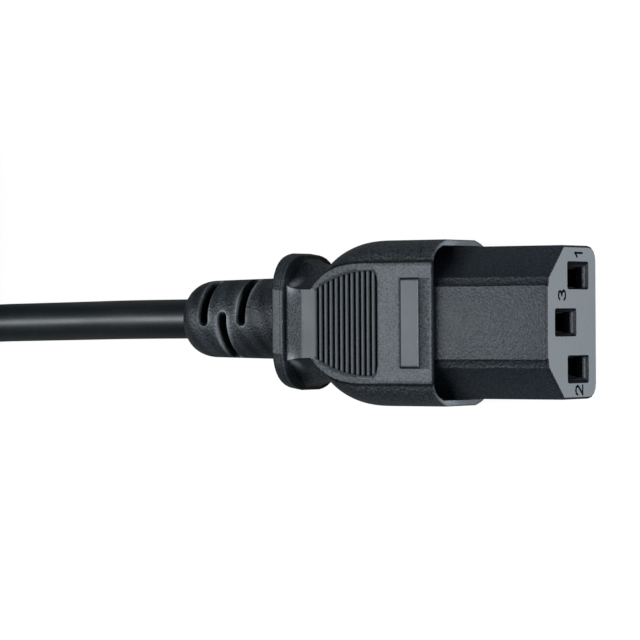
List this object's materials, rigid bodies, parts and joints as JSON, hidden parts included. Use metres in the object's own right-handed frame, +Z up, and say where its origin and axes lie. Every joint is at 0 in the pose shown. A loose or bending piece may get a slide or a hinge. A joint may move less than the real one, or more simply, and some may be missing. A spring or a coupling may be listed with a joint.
{
  "type": "power extension cord",
  "caption": "Mains extension cord with a moulded three-pole appliance connector, a slit strain relief, a tied hank of lead and a shrouded plug.",
  "frame": {"origin": "on the table below the middle of the connector, which lies on its wide side with its mating face towards +X", "axes": "+X along the connector towards its mating face, +Y across its width, +Z up; the lead runs towards -X"},
  "size_m": [0.2772, 0.0649, 0.04],
  "materials": {
    "moulding": "fine-grained matt",
    "insert": "smooth satin",
    "jacket": "smooth satin",
    "contact": "bright",
    "pin": "nickel plated",
    "strands": "bare copper",
    "core_live": "smooth",
    "core_neutral": "smooth",
    "core_earth": "smooth",
    "tie": "smooth"
  },
  "bodies": {
    "root": {"connector_nose": "insert", "connector_overmould": "moulding", "live_contact": "contact", "neutral_contact": "contact", "earth_contact": "contact", "live_core": "core_live", "neutral_core": "core_neutral", "earth_core": "core_earth", "live_strands": "strands", "neutral_strands": "strands", "earth_strands": "strands", "cord_lead": "jacket", "cord_hank": "jacket", "cord_tail": "jacket", "cord_tie": "tie", "plug_shroud": "insert", "plug_overmould": "moulding", "plug_live_pin": "pin", "plug_neutral_pin": "pin", "plug_earth_pin": "pin", "plug_live_core": "core_live", "plug_neutral_core": "core_neutral", "plug_earth_core": "core_earth", "plug_live_strands": "strands", "plug_neutral_strands": "strands", "plug_earth_strands": "strands"}
  },
  "joints": []
}
